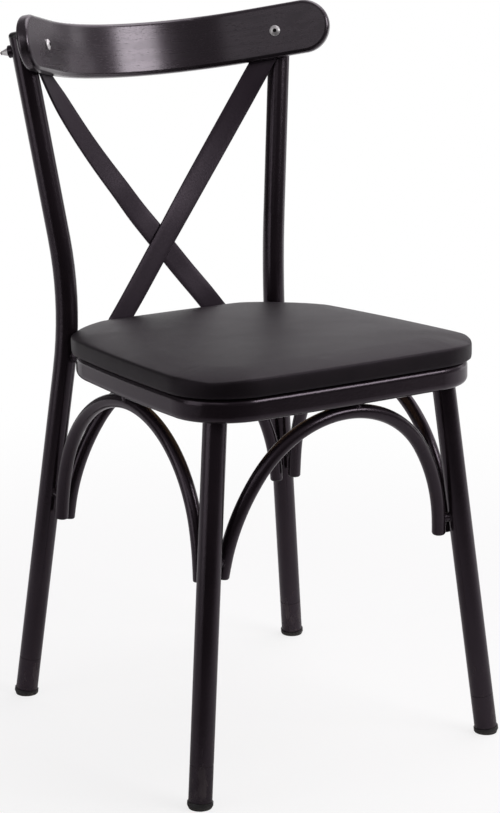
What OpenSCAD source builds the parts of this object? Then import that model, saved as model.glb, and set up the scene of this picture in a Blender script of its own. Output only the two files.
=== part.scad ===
// Cross-back dining chair: steel tube frame, crossed flat straps, bent top rail, padded seat.
// Sizes are millimetres. The chair faces -Y, +X is its left-to-right axis, the floor is z = 0.

/* [Display] */
// Sub-part to show, or all

/* [Leg tubes] */
// Outside diameter of the four leg tubes
leg_d = 26.9; // [20:0.1:35]
// Wall of every tube
tube_wall = 1.5; // [1:0.1:3]
// Front leg: point on the floor, right side
front_foot = [201.3, -205.8, 0];
// Front leg: point under the seat, right side
front_head = [156.1, -167.6, 421.4];
// Rear leg: point on the floor, right side
rear_foot = [199.9, 205.8, 0];
// Rear leg: corner of its bend, right side
rear_bend = [143.7, 171.6, 494.5];
// Height of the post's end above the rail's bolt
post_over_bolt = 15.1; // [11:0.1:20]
// Radius of the rear leg's bend
rear_bend_r = 520; // [300:5:700]
// Height of the pressed ring that holds each glide
crimp_height = 48; // [20:1:80]
// Width of the pressed ring
crimp_w = 1.6; // [1:0.1:4]
// Depth of the pressed ring
crimp_depth = 0.5; // [0.2:0.1:1]

/* [Glides and caps] */
// Diameter of the glide's lip
glide_d = 29.2; // [27:0.1:34]
// Length of the lip along the leg
glide_lip = 7; // [4:0.5:15]
// Length of the glide's plug inside the tube
plug_length = 39; // [20:1:45]
// Wall of the glide's plug
plug_wall = 2; // [1:0.5:4]
// Height of the rounded cap on each post
cap_height = 6; // [3:0.5:10]
// Length of the cap's plug inside the tube
cap_plug = 9; // [5:0.5:9]

/* [Seat frame] */
// Slope of the seat, lower at the rear, degrees
seat_slope = 1.93; // [0:0.01:5]
// Underside of the hoop at the front
hoop_bottom = 429.2; // [400:0.1:450]
// Height of the hoop's section
hoop_height = 28.4; // [22:0.1:40]
// Width of the hoop's section
hoop_width = 30; // [20:0.5:40]
// Rounding of the hoop's section
hoop_round = 8; // [4:0.5:10]
// How far the hoop stands inside the cushion's outline
hoop_inset = 5; // [0:0.5:12]
// Front edge of the cushion
seat_front = -216.2;
// Thickness of the plates in the hoop's corners
plate_t = 3; // [2:0.5:5]
// Distance of the seat screws from the hoop
tab_reach = 12; // [8:0.5:20]
// Width of the leg plates around the legs
leg_plate_rim = 6; // [2:0.5:12]
// Diameter of the seat screws
screw_d = 3.6; // [3:0.1:5]
// Diameter of the drain holes
vent_d = 6; // [3:0.5:10]
// Distance of the drain holes from the middle
vent_x = 60; // [20:1:100]
// Diameter of the spacers between the hoop and the rear legs
spacer_d = 16; // [8:0.5:18]
// Height of the spacers above the hoop's underside
spacer_rise = 1.9; // [-2:0.1:4]
// Radii of the cushion's outline: front, front corner, side and rear corner
seat_radii = [4213, 75.1, 2289, 108.6];
// Angles of these arcs, degrees
seat_turns = [1.7, 89.5, 5.7, 81.5];

/* [Cushion] */
// Thickness of the seat board
board_t = 9; // [6:0.5:18]
// Thickness of the covering
cover_t = 1.2; // [0.8:0.1:2]
// Height of the cushion's side above the hoop
side_height = 19; // [12:0.5:40]
// Depth of the seat screws above the hoop
screw_bite = 6; // [4:0.5:9]
// Height of the seat screws' heads
screw_head_h = 2.4; // [1.5:0.1:4]
// Rise of the rounded rim above the side
rim_rise = 6.4; // [3:0.1:10]
// Width of the covering folded under the board
flange = 42; // [30:1:50]
// Middle of the crown, front to rear
crown_y = -15; // [-40:1:20]
// Rise of the crown in the middle
crown = 4; // [0:0.5:15]

/* [Arches] */
// Outside diameter of the arch tubes
arch_d = 16.5; // [12:0.1:17]
// Front arch: radius of its top and of its sides
front_arch_radii = [133.3, 229.6];
// Front arch: half angle of its top and angle at its ends, degrees
front_arch_turns = [55.6, 83.2];
// Front arch: straight length at each end
front_arch_end = 11; // [5:0.5:20]
// Front arch: depth of the crown's axis under the hoop's underside
front_arch_drop = 8.8; // [8.7:0.1:20]
// Front arch: Y of its plane at the arch level
front_arch_y = -171.8;
// Front arch: slope of its plane
front_arch_slope = -0.126;
// Rear arch: radius of its top and of its sides
rear_arch_radii = [136, 233.6];
// Rear arch: half angle of its top and angle at its ends, degrees
rear_arch_turns = [55.4, 83.3];
// Rear arch: straight length at each end
rear_arch_end = 11; // [5:0.5:20]
// Rear arch: depth of the crown's axis under the hoop's underside
rear_arch_drop = 24.2; // [23:0.1:30]
// Rear arch: Y of its plane at the arch level
rear_arch_y = 172.9;
// Rear arch: slope of its plane
rear_arch_slope = -0.046;
// Side arches: radius of their top and of their sides
side_arch_radii = [154.6, 238.2];
// Side arches: half angle of their top and angle at their ends, degrees
side_arch_turns = [73.1, 84];
// Side arches: straight length at the front end and at the rear end
side_arch_ends = [12.5, 21];
// Side arches: depth of the crown's axis under the hoop's underside
side_arch_drop = 18.1; // [16.5:0.1:25]
// Side arches: X of their plane at the arch level
side_arch_x = 169.8;
// Side arches: slope of their plane
side_arch_slope = -0.029;
// Height of the arch level
arch_level = 250;
// Side arches: how far they stand to the rear of the middle
side_arch_shift = 0; // [-10:0.5:10]
// Lip of the plugs in the arch ends
arch_plug_lip = 1.5; // [1:0.1:3]
// Length of the plugs inside the arches
arch_plug = 10; // [5:0.5:12]
// Diameter of the studs that hold the arches
stud_d = 10; // [6:0.5:14]
// Diameter of the studs at the crowns
crown_stud_d = 8; // [6:0.5:11]
// Distance of these studs from the arch's axis, outwards
crown_stud_out = 3; // [0:0.5:5]
// Lean of the rear and side studs over the arch's drop, outwards
crown_stud_lean = 6; // [3:0.5:9]
// Distance of the leg studs above the arch ends
stud_rise = 18; // [8:1:40]
// Place of the front crown stud, right of the middle
front_stud_x = 12; // [0:1:30]

/* [Back straps] */
// Width of the straps
strap_w = 28; // [20:0.5:40]
// Thickness of the straps
strap_t = 3; // [2:0.1:5]
// Lean of the strap where it lies on the rail, degrees
strap_lean = 36; // [20:1:50]
// Front strap's middle line from rail to seat: X, Y, Z and the turn of its face in degrees
strap_route = [[131, 210, 728, 26], [93, 211, 672, 17.5], [51.5, 207.5, 616, 9],
    [8, 200.5, 560, 0], [-46.5, 191, 490, -1]];
// The same beside the hoop, with Z from the hoop's top
strap_low_route = [[-71.5, 188, 0.4, -2], [-80.5, 187.4, -11.1, -2]];
// Places of the strap's straight top, from the bolt
strap_top_places = [15, 0, -14, -28];
// Heights of the strap's foot on the hoop
strap_foot_heights = [17, 13, 9];
// Distance of the strap's rivet from the middle
rivet_x = 94; // [60:1:120]
// Height where the straps cross
strap_cross = 549; // [500:1:600]
// Half the height over which the rear strap steps back
cross_reach = 75; // [60:1:90]
// Height of the step's ramp
cross_ramp = 45; // [25:1:60]
// Diameter of the strap's rivets
rivet_d = 5; // [4:0.5:8]

/* [Top rail] */
// Height of the rail's board
rail_h = 65; // [40:0.5:100]
// Thickness of the rail's board
rail_t = 15; // [10:0.5:25]
// Radius of the rail's hollow front face
rail_r = 201; // [150:1:400]
// Half angle of the bent middle
rail_angle = 43; // [20:0.5:60]
// Straight length from the bend to the centre of the round end
rail_end = 65; // [30:0.5:100]
// Rounding of the rail's edges
rail_round = 5; // [1:0.5:7]
// Lean of the rail to the rear, degrees
rail_lean = 15.5; // [0:0.5:25]
// Middle of the rail's front face
rail_middle = [0, 261.2, 781];
// Place of the bolt on the straight end
rail_bolt_x = 30; // [15:0.5:50]
// Diameter of the bolts
bolt_d = 6; // [5:0.5:8]
// Diameter of the bolt heads
bolt_head_d = 13; // [10:0.5:16]
// Height of the bolt heads
bolt_head_h = 3.2; // [2.5:0.1:5]
// Thickness of the heads' flange
flange_t = 1.2; // [0.8:0.1:2]
// Depth of the hexagon socket
socket_depth = 1.8; // [1:0.1:2]
// Clearance around the bolts in their holes
bolt_clearance = 0.3; // [0.1:0.1:1]
// Diameter of the curved washers behind the posts
washer_d = 15; // [10:0.5:20]
// Thickness of the washers outside the post
washer_t = 3.5; // [1:0.5:6]
// Diameter of the cap nuts
nut_d = 11; // [9:0.5:16]
// Length of the cap nuts
nut_length = 11; // [8:0.5:20]
// Radius of the nut's tip
nut_tip_r = 2.4; // [1:0.1:4]
// Depth of the thread in the nut
nut_thread = 4.5; // [3:0.5:6]

/* [Hidden] */
$fn = 48;
// Steps in a full turn of a bend, and of the hoop's nearly straight sides.
bend_fn = 120;
side_fn = 720;
eps = 0.01;
// Bent pieces lap into each other with this length and this step in radius.
lap = 0.5;
lap_step = 0.06;
leg_r = leg_d / 2;
arch_r = arch_d / 2;
bore_r = leg_r - tube_wall;
// Radius of the plugs that go into the legs.
plug_r = bore_r - lap_step;
hoop_top = hoop_bottom + hoop_height;
// The seat slopes about this line.
tilt_y = -210;
rail_reach = rail_r * sin(rail_angle) + rail_end * cos(rail_angle);

coat = [0.07, 0.07, 0.075];
plastic = [0.1, 0.1, 0.1];
steel = [0.75, 0.75, 0.77];

// The part's origin lies under the middle of its bounding box.
depth_front = front_foot[1] - glide_d / 2;
depth_rear = rail_middle[1] + rail_t * cos(rail_lean) + (rail_h / 2 - rail_round) * sin(rail_lean)
    + rail_round * (1 - cos(rail_lean));
shift_y = -(depth_front + depth_rear) / 2;

// Middle of the post behind the bolt: the strap lies between the rail and the post.
post_at_bolt = on_rail_end(rail_bolt_x, rail_t + strap_t + leg_r, 0);
rear_head = on_leg(rear_bend, post_at_bolt - rear_bend,
    post_at_bolt[2] + post_over_bolt - rear_bend[2]);

function unit(v) = v / norm(v);
function smooth(t) = let(u = min(1, max(0, t))) u * u * (3 - 2 * u);
function angle_between(a, b) = acos(unit(a) * unit(b));
// Point on a line at a height above its start.
function on_leg(foot, way, z) = foot + z / way[2] * way;
// Point of the rail's right straight end: along it, through the board and up.
function on_rail_end(x, y, z) = let(
    px = rail_r * sin(rail_angle) + x * cos(rail_angle) + y * sin(rail_angle),
    py = rail_r * (cos(rail_angle) - 1) - x * sin(rail_angle) + y * cos(rail_angle))
    [rail_middle[0] + px, rail_middle[1] + py * cos(rail_lean) + z * sin(rail_lean),
     rail_middle[2] - py * sin(rail_lean) + z * cos(rail_lean)];

// Places children with Z along a direction and X turned towards a hint.
module aim(place, along, hint = [0, 0, 1]) {
    z = unit(along);
    x = unit(hint - (hint * z) * z);
    y = cross(z, x);
    multmatrix([[x[0], y[0], z[0], place[0]], [x[1], y[1], z[1], place[1]],
        [x[2], y[2], z[2], place[2]], [0, 0, 0, 1]]) children();
}

module both_sides() {
    children();
    mirror([1, 0, 0]) children();
}

// A round bar bent towards +X, starting along +Z. The lap runs past both ends.
module bar_arc(bend, angle, r, lap = 0) {
    extra = lap / bend * 180 / PI;
    translate([bend, 0, 0])
        multmatrix([[-1, 0, 0, 0], [0, 0, 1, 0], [0, 1, 0, 0], [0, 0, 0, 1]])
            rotate([0, 0, -extra]) rotate_extrude(angle = angle + 2 * extra, $fn = bend_fn)
                translate([bend, 0]) circle(r, $fn = 48);
}

module after_arc(bend, angle) {
    translate([bend * (1 - cos(angle)), 0, bend * sin(angle)]) rotate([0, angle, 0]) children();
}

// Bend of the rear leg, from its three points.
rear_low = rear_bend - rear_foot;
front_way = front_head - front_foot;
rear_high = rear_head - rear_bend;
rear_turn = angle_between(rear_low, rear_high);
rear_tangent = rear_bend_r * tan(rear_turn / 2);
rear_low_length = norm(rear_low) - rear_tangent;
rear_high_length = norm(rear_high) - rear_tangent;

module rear_bar(r, start, extra = 0) {
    aim(rear_foot, rear_low, rear_high) {
        translate([0, 0, start]) cylinder(h = rear_low_length - start + lap, r = r - lap_step);
        translate([0, 0, rear_low_length]) {
            bar_arc(rear_bend_r, rear_turn, r);
            after_arc(rear_bend_r, rear_turn) translate([0, 0, -lap])
                cylinder(h = rear_high_length + extra + lap, r = r - lap_step);
        }
    }
}

// A ring pressed into the tube above each glide.
module crimp_ring() {
    translate([0, 0, crimp_height]) difference() {
        cylinder(h = crimp_w, r = leg_r + 1);
        translate([0, 0, -eps]) cylinder(h = crimp_w + 2 * eps, r = leg_r - crimp_depth);
    }
}

module rear_leg() {
    difference() {
        rear_bar(leg_r, glide_lip);
        rear_bar(bore_r, 0, 1);
        aim(rear_foot, rear_low, rear_high) crimp_ring();
        in_rail_end() translate([rail_bolt_x, 0, 0]) rotate([-90, 0, 0])
            cylinder(h = 2 * post_back, r = bolt_d / 2 + bolt_clearance);
    }
}

module rear_leg_left() {
    color(coat) mirror([1, 0, 0]) rear_leg();
}

module rear_leg_right() {
    color(coat) rear_leg();
}

// The seat's slope about a line under its front edge.
module seat_tilt() {
    translate([0, tilt_y, hoop_top]) rotate([-seat_slope, 0, 0])
        translate([0, -tilt_y, -hoop_top]) children();
}

// The front leg runs on past the hoop's underside and is cut off there.
module front_leg() {
    over = 40;
    length = norm(front_way) + over;
    difference() {
        aim(front_foot, front_way) translate([0, 0, glide_lip])
            cylinder(h = length - glide_lip, r = leg_r);
        aim(front_foot, front_way) cylinder(h = length + 1, r = bore_r);
        aim(front_foot, front_way) crimp_ring();
        above_hoop_bottom();
    }
}

// Everything above the plane of the hoop's underside, for cuts.
module above_hoop_bottom() {
    half = 2 * arc_reach;
    seat_tilt() translate([-half, -half, hoop_bottom]) cube([2 * half, 2 * half, 4 * hoop_height]);
}

module front_leg_left() {
    color(coat) mirror([1, 0, 0]) front_leg();
}

module front_leg_right() {
    color(coat) front_leg();
}

// A foot glide: a lip under the tube, rounded at the floor, and a hollow plug inside the tube.
module glide(foot, way) {
    lead = 3;
    half = glide_d;
    intersection() {
        aim(foot, way) difference() {
            union() {
                translate([0, 0, lead]) cylinder(h = glide_lip - lead, r = glide_d / 2);
                translate([0, 0, -lead])
                    cylinder(h = 2 * lead, r1 = glide_d / 2 - lead, r2 = glide_d / 2);
                translate([0, 0, glide_lip]) cylinder(h = plug_length - lead, r = plug_r);
                translate([0, 0, glide_lip + plug_length - lead])
                    cylinder(h = lead, r1 = plug_r, r2 = plug_r - lead / 2);
            }
            translate([0, 0, glide_lip]) cylinder(h = plug_length + 1, r = plug_r - plug_wall);
        }
        translate([foot[0] - half, foot[1] - half, 0]) cube([2 * half, 2 * half, 2 * plug_length]);
    }
}

module glide_front_left() {
    color(plastic) mirror([1, 0, 0]) glide(front_foot, front_way);
}

module glide_front_right() {
    color(plastic) glide(front_foot, front_way);
}

module glide_rear_left() {
    color(plastic) mirror([1, 0, 0]) glide(rear_foot, rear_low);
}

module glide_rear_right() {
    color(plastic) glide(rear_foot, rear_low);
}

module post_cap() {
    round_r = cap_height - 1;
    aim(rear_head, rear_high) {
        rotate_extrude() {
            square([leg_r - round_r, cap_height]);
            square([leg_r, cap_height - round_r]);
            translate([leg_r - round_r, cap_height - round_r]) intersection() {
                circle(round_r);
                square(round_r);
            }
        }
        translate([0, 0, -cap_plug]) cylinder(h = cap_plug + eps, r = plug_r);
    }
}

module post_caps() {
    color(plastic) both_sides() post_cap();
}

// The seat's outline is a chain of tangent arcs, right half, from front middle to rear middle.
seat_arcs = [for (i = [0:3]) [seat_radii[i], seat_turns[i]]];
function arc_start_angle(i) = i == 0 ? 0 : arc_start_angle(i - 1) + seat_arcs[i - 1][1];
function arc_centre(i) = arc_start(i)
    + seat_arcs[i][0] * [-sin(arc_start_angle(i)), cos(arc_start_angle(i))];
function arc_start(i) = i == 0 ? [0, seat_front]
    : arc_centre(i - 1) + seat_arcs[i - 1][0] * [sin(arc_start_angle(i)), -cos(arc_start_angle(i))];

last_angle = arc_start_angle(4);
last_start = arc_centre(3) + seat_arcs[3][0] * [sin(last_angle), -cos(last_angle)];
last_r = last_start[0] / sin(last_angle);
last_centre = last_start + last_r * [-sin(last_angle), cos(last_angle)];
// Every arc as centre, radius, start angle and angle.
outline_arcs = concat(
    [for (i = [0:3]) [arc_centre(i), seat_arcs[i][0], arc_start_angle(i), seat_arcs[i][1]]],
    [[last_centre, last_r, last_angle, 180 - last_angle]]);
arc_steps = [2, 8, 3, 8, 1];

function half_outline(inset) = [for (i = [0:4]) let(a = outline_arcs[i])
    for (k = [0:arc_steps[i] - 1]) let(t = a[2] + a[3] * k / arc_steps[i])
        a[0] + (a[1] - inset) * [sin(t), -cos(t)]];
function rear_point(inset) = last_centre + (last_r - inset) * [0, 1];
function full_outline(inset) = let(h = half_outline(inset), n = len(h))
    concat(h, [rear_point(inset)], [for (i = [n - 1:-1:1]) [-h[i][0], h[i][1]]]);

// Section of the hoop's bar, its outside edge at X = 0.
module hoop_section(inset) {
    w = hoop_width - 2 * inset;
    h = hoop_height - 2 * inset;
    r = hoop_round - inset;
    translate([-hoop_width + inset, hoop_bottom + inset]) {
        translate([r, 0]) square([w - 2 * r, h]);
        translate([0, r]) square([w, h - 2 * r]);
        for (x = [r, w - r], y = [r, h - r]) translate([x, y]) circle(r, $fn = 32);
    }
}

// The hoop's bar. Front, side and rear arcs lap into the corners.
module hoop_ring(inset = 0) {
    module band(a, start, angle, lapped) {
        extra = lapped ? 0.5 / a[1] * 180 / PI : 0;
        translate([a[0][0], a[0][1], 0]) rotate([0, 0, start - 90 - extra])
            rotate_extrude(angle = angle + 2 * extra, $fn = lapped ? side_fn : bend_fn)
                translate([a[1] - hoop_inset, 0]) hoop_section(inset + (lapped ? lap_step : 0));
    }
    front = outline_arcs[0];
    rear = outline_arcs[4];
    band(front, -front[3], 2 * front[3], true);
    band(rear, rear[2], 2 * rear[3], true);
    both_sides() {
        band(outline_arcs[1], outline_arcs[1][2], outline_arcs[1][3], false);
        band(outline_arcs[2], outline_arcs[2][2], outline_arcs[2][3], true);
        band(outline_arcs[3], outline_arcs[3][2], outline_arcs[3][3], false);
    }
}

module seat_hoop() {
    color(coat) seat_tilt() difference() {
        hoop_ring();
        hoop_ring(tube_wall);
        for (place = vent_places) translate([place[0], place[1], hoop_bottom - 1])
            cylinder(h = tube_wall + 2, d = vent_d);
        both_sides() rivet_axis() translate([0, 0, -2 * strap_t])
            cylinder(h = 4 * strap_t, d = rivet_d + 0.2);
    }
}

front_corner = outline_arcs[1][0];
rear_corner = outline_arcs[3][0];
front_band_r = outline_arcs[1][1] - hoop_inset - hoop_width;
rear_band_r = outline_arcs[3][1] - hoop_inset - hoop_width;
// Drain holes under the hoop's front and rear bars.
bar_middle = hoop_inset + hoop_width / 2;
vent_places = [for (x = [-vent_x, vent_x], y = [seat_front + bar_middle,
    last_centre[1] + last_r - bar_middle]) [x, y]];
// Screw places on the right side: front tab and rear tab.
tab_places = [front_corner + (front_band_r - tab_reach) * [sin(45), -cos(45)],
    rear_corner + (rear_band_r - tab_reach) * [sin(45), cos(45)]];
tab_bottom = hoop_top - hoop_round - plate_t;
// Widest reach of the seat's outline from the origin.
arc_reach = outline_arcs[1][0][0] + outline_arcs[1][1];

// Plates welded inside the hoop's corners, under its rounded top edge, for the seat screws.
module seat_tabs() {
    centres = [front_corner, rear_corner];
    radii = [front_band_r, rear_band_r];
    color(coat) seat_tilt() both_sides() for (i = [0, 1]) difference() {
        intersection() {
            translate([tab_places[i][0], tab_places[i][1], tab_bottom])
                rotate([0, 0, i == 0 ? -45 : 45]) translate([-tab_reach, -radii[i], 0])
                    cube([3 * tab_reach, 2 * radii[i], plate_t]);
            translate([centres[i][0], centres[i][1], tab_bottom - plate_t])
                cylinder(h = 3 * plate_t, r = radii[i]);
        }
        translate([tab_places[i][0], tab_places[i][1], tab_bottom - plate_t])
            cylinder(h = 3 * plate_t, d = screw_d + 1.4);
    }
}

// Plates that close the front corners over the leg ends, level with the hoop's underside.
module leg_plates() {
    head = on_leg(front_foot, front_way, hoop_bottom);
    below = max(0, hoop_round - plate_t);
    under_round = hoop_round - sqrt(hoop_round * hoop_round - below * below);
    color(coat) seat_tilt() both_sides() intersection() {
        translate([head[0], head[1], hoop_bottom]) cylinder(h = plate_t, r = leg_r + leg_plate_rim);
        translate([front_corner[0], front_corner[1], hoop_bottom - plate_t])
            cylinder(h = 3 * plate_t, r = front_band_r + under_round);
    }
}

// Short round spacers between the hoop's rear corners and the rear legs.
module seat_spacers() {
    spacer_z = hoop_bottom + spacer_rise;
    reach = 1.5 * leg_d;
    leg = on_leg(rear_foot, rear_low, spacer_z);
    along = spacer_z / rear_low[2] * norm(rear_low) - rear_low_length;
    turn = max(0, along) / rear_bend_r * 180 / PI;
    out = unit([leg[0] - rear_corner[0], leg[1] - rear_corner[1], 0]);
    color(coat) both_sides() difference() {
        aim(leg - reach * out, out) cylinder(h = reach, d = spacer_d);
        aim(rear_foot, rear_low, rear_high) translate([0, 0, rear_low_length])
            after_arc(rear_bend_r, turn) translate([0, 0, -spacer_d])
                cylinder(h = 2 * spacer_d, r = leg_r - lap_step);
        seat_tilt() translate([rear_corner[0], rear_corner[1], hoop_bottom - hoop_height])
            cylinder(h = 3 * hoop_height, r = outline_arcs[3][1] - hoop_inset);
    }
}

// Bends of an arch: top radius, half angle of the top, side radius, end angle, both end lengths.
front_arch_bend = bend_of(front_arch_radii, front_arch_turns, [front_arch_end, front_arch_end]);
rear_arch_bend = bend_of(rear_arch_radii, rear_arch_turns, [rear_arch_end, rear_arch_end]);
side_arch_bend = bend_of(side_arch_radii, side_arch_turns, side_arch_ends);
// Place of an arch: height of the crown's axis, place of its plane and slope.
front_arch_place = [hoop_bottom - front_arch_drop, front_arch_y, front_arch_slope];
rear_arch_place = [hoop_bottom - rear_arch_drop, rear_arch_y, rear_arch_slope];
side_arch_place = [hoop_bottom - side_arch_drop, side_arch_x, side_arch_slope];
function bend_of(radii, turns, ends) = [radii[0], turns[0], radii[1], turns[1], ends[0], ends[1]];
// Width and height of a bent arch from its bends.
function arch_half(b) = b[0] * sin(b[1]) + b[2] * (sin(b[3]) - sin(b[1])) + b[4] * cos(b[3]);
function arch_drop(b) = b[0] * (1 - cos(b[1])) + b[2] * (cos(b[1]) - cos(b[3])) + b[4] * sin(b[3]);
function plane_at(place, z) = place[1] + place[2] * (z - arch_level);

// A bent bar from its first end over the crown to the other end.
module arch_bar(b, r, extra = 0) {
    side = b[3] - b[1];
    translate([0, 0, -extra]) cylinder(h = b[4] + extra + lap, r = r - lap_step);
    translate([0, 0, b[4]]) {
        bar_arc(b[2], side, r);
        after_arc(b[2], side) {
            bar_arc(b[0], 2 * b[1], r - lap_step, lap);
            after_arc(b[0], 2 * b[1]) {
                bar_arc(b[2], side, r);
                after_arc(b[2], side) translate([0, 0, -lap])
                    cylinder(h = b[5] + extra + lap, r = r - lap_step);
            }
        }
    }
}

module across(b, place) {
    foot_z = place[0] - arch_drop(b);
    rise = unit([0, place[2], 1]);
    aim([-arch_half(b), plane_at(place, foot_z), foot_z],
        cos(b[3]) * [1, 0, 0] + sin(b[3]) * rise, [1, 0, 0]) children();
}

module along_side(b, place) {
    foot_z = place[0] - arch_drop(b);
    rise = unit([place[2], 0, 1]);
    aim([plane_at(place, foot_z), -arch_half(b) + side_arch_shift, foot_z],
        cos(b[3]) * [0, 1, 0] + sin(b[3]) * rise, [0, 1, 0]) children();
}

module arch_tube(b) {
    difference() {
        arch_bar(b, arch_r);
        arch_bar(b, arch_r - tube_wall, 1);
    }
}

module front_arch() {
    color(coat) across(front_arch_bend, front_arch_place) arch_tube(front_arch_bend);
}

module rear_arch() {
    color(coat) across(rear_arch_bend, rear_arch_place) arch_tube(rear_arch_bend);
}

module left_arch() {
    color(coat) mirror([1, 0, 0])
        along_side(side_arch_bend, side_arch_place) arch_tube(side_arch_bend);
}

module right_arch() {
    color(coat) along_side(side_arch_bend, side_arch_place) arch_tube(side_arch_bend);
}

module arch_plug_pair(b) {
    module plug() {
        translate([0, 0, -arch_plug_lip])
            cylinder(h = arch_plug_lip, r1 = arch_r - arch_plug_lip / 2, r2 = arch_r);
        cylinder(h = arch_plug, r = arch_r - tube_wall - lap_step);
    }
    plug();
    translate([0, 0, b[4]]) after_arc(b[2], b[3] - b[1]) after_arc(b[0], 2 * b[1])
        after_arc(b[2], b[3] - b[1]) translate([0, 0, b[5]]) rotate([180, 0, 0]) plug();
}

module arch_end_plugs() {
    color(plastic) {
        across(front_arch_bend, front_arch_place) arch_plug_pair(front_arch_bend);
        across(rear_arch_bend, rear_arch_place) arch_plug_pair(rear_arch_bend);
        both_sides() along_side(side_arch_bend, side_arch_place) arch_plug_pair(side_arch_bend);
    }
}

// Axis point of an arch at the studs' height, right side.
function across_end(b, place) = let(z = place[0] - arch_drop(b) + stud_rise)
    [arch_half(b) - stud_rise / tan(b[3]), plane_at(place, z), z];
function side_end(b, place, rear) = let(z = place[0] - arch_drop(b) + stud_rise)
    [plane_at(place, z), side_arch_shift + (rear ? 1 : -1) * (arch_half(b) - stud_rise / tan(b[3])), z];

// A round stud from an arch's axis to a leg's axis, cut to sit on both tubes.
module leg_stud(a, way_a, foot, way) {
    b = on_leg(foot, way, a[2]);
    reach = 2 * stud_d;
    difference() {
        aim(a, b - a) cylinder(h = norm(b - a), d = stud_d);
        aim(a - reach * unit(way_a), way_a) cylinder(h = 2 * reach, r = arch_r);
        aim(foot, way) cylinder(h = norm(way), r = leg_r - lap_step);
    }
}

// Direction of an arch's tube at the leg studs.
function across_way(b, place) = let(t = b[3] - max(0, stud_rise - b[4]) / b[2] * 180 / PI,
    rise = unit([0, place[2], 1])) -cos(t) * [1, 0, 0] + sin(t) * rise;
function side_way(b, place, rear) = let(t = b[3] - max(0, stud_rise - b[4]) / b[2] * 180 / PI,
    rise = unit([place[2], 0, 1])) (rear ? -1 : 1) * cos(t) * [0, 1, 0] + sin(t) * rise;

module arch_leg_studs() {
    color(coat) both_sides() {
        leg_stud(across_end(front_arch_bend, front_arch_place),
            across_way(front_arch_bend, front_arch_place), front_foot, front_way);
        leg_stud(across_end(rear_arch_bend, rear_arch_place),
            across_way(rear_arch_bend, rear_arch_place), rear_foot, rear_low);
        leg_stud(side_end(side_arch_bend, side_arch_place, false),
            side_way(side_arch_bend, side_arch_place, false), front_foot, front_way);
        leg_stud(side_end(side_arch_bend, side_arch_place, true),
            side_way(side_arch_bend, side_arch_place, true), rear_foot, rear_low);
    }
}

// A stud from an arch's crown up to the hoop's underside, leaning outwards.
module crown_stud(crown_axis, way, out, depth, lean = 0, drop = 0) {
    reach = 2 * crown_stud_d;
    difference() {
        aim(crown_axis + crown_stud_out * out, [0, 0, depth] + lean * out, [1, 0, 0])
            cylinder(h = hoop_height + arch_r, d = crown_stud_d);
        aim(crown_axis - reach * way - [0, 0, drop], way) cylinder(h = 2 * reach, r = arch_r - lap_step);
        above_hoop_bottom();
    }
}

module arch_crown_studs() {
    front_z = front_arch_place[0];
    rear_z = rear_arch_place[0];
    side_z = side_arch_place[0];
    color(coat) {
        crown_stud([front_stud_x, plane_at(front_arch_place, front_z), front_z], [1, 0, 0], [0, -1, 0],
            front_arch_drop, 0, front_stud_x * front_stud_x / 2 / front_arch_bend[0]);
        crown_stud([0, plane_at(rear_arch_place, rear_z), rear_z], [1, 0, 0], [0, 1, 0],
            rear_arch_drop, crown_stud_lean);
        both_sides() crown_stud([plane_at(side_arch_place, side_z), side_arch_shift, side_z],
            [0, 1, 0], [1, 0, 0], side_arch_drop, crown_stud_lean);
    }
}

// A point of the strap on the rail's rear face, at a distance from the bolt.
function strap_on_rail(s) = concat(on_rail_end(rail_bolt_x + s * sin(strap_lean),
    rail_t + strap_t / 2, s * cos(strap_lean)), [rail_turn]);
// Direction of the rail's rear face, seen from above.
rail_turn = atan2(sin(rail_angle), cos(rail_angle) * cos(rail_lean));

// A point of the strap on the hoop's rear face, at a place along X and a height in the hoop.
function strap_on_hoop(x, height) = let(r = last_r - hoop_inset + strap_t / 2,
    y = last_centre[1] + sqrt(r * r - x * x) - tilt_y, z = height - hoop_height)
    [x, tilt_y + y * cos(seat_slope) + z * sin(seat_slope),
     hoop_top - y * sin(seat_slope) + z * cos(seat_slope), -2];

strap_top = [for (s = strap_top_places) strap_on_rail(s)];
// Sideways run of the strap for each millimetre of height at its foot.
strap_foot_run = 0.78;
strap_foot = [for (h = strap_foot_heights)
    strap_on_hoop((h - hoop_height / 2) * strap_foot_run - rivet_x, h)];
strap_guide = concat([strap_top[2], strap_top[3]], strap_route,
    [for (p = strap_low_route) p + [0, 0, hoop_top, 0]], [strap_foot[0], strap_foot[1]]);

// Smooth curve through the guide points, between point i and the next one.
function guide_slope(i) = let(n = len(strap_guide), a = strap_guide[i == n - 2 ? i : i - 1],
    b = strap_guide[i == 1 ? i : i + 1]) (b - a) / (b[2] - a[2]);
function guide_point(i, t) = let(a = strap_guide[i], b = strap_guide[i + 1], h = b[2] - a[2],
    u = 1 - t) u * u * (1 + 2 * t) * a + t * t * (3 - 2 * t) * b
    + t * u * h * (u * guide_slope(i) - t * guide_slope(i + 1));
strap_steps = 4;
strap_path = concat(strap_top,
    [for (i = [1:len(strap_guide) - 3], k = [1:strap_steps]) guide_point(i, k / strap_steps)],
    [strap_foot[1], strap_foot[2]]);

// Directions along and out of the strap at each point of its path.
function strap_along(i) = let(n = len(strap_path), a = strap_path[max(0, i - 1)],
    b = strap_path[min(n - 1, i + 1)]) unit([b[0] - a[0], b[1] - a[1], b[2] - a[2]]);
function strap_face(i) = let(t = strap_along(i), p = strap_path[i][3], x = sin(p), y = cos(p))
    unit([x, y, -(x * t[0] + y * t[1]) / t[2]]);
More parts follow.
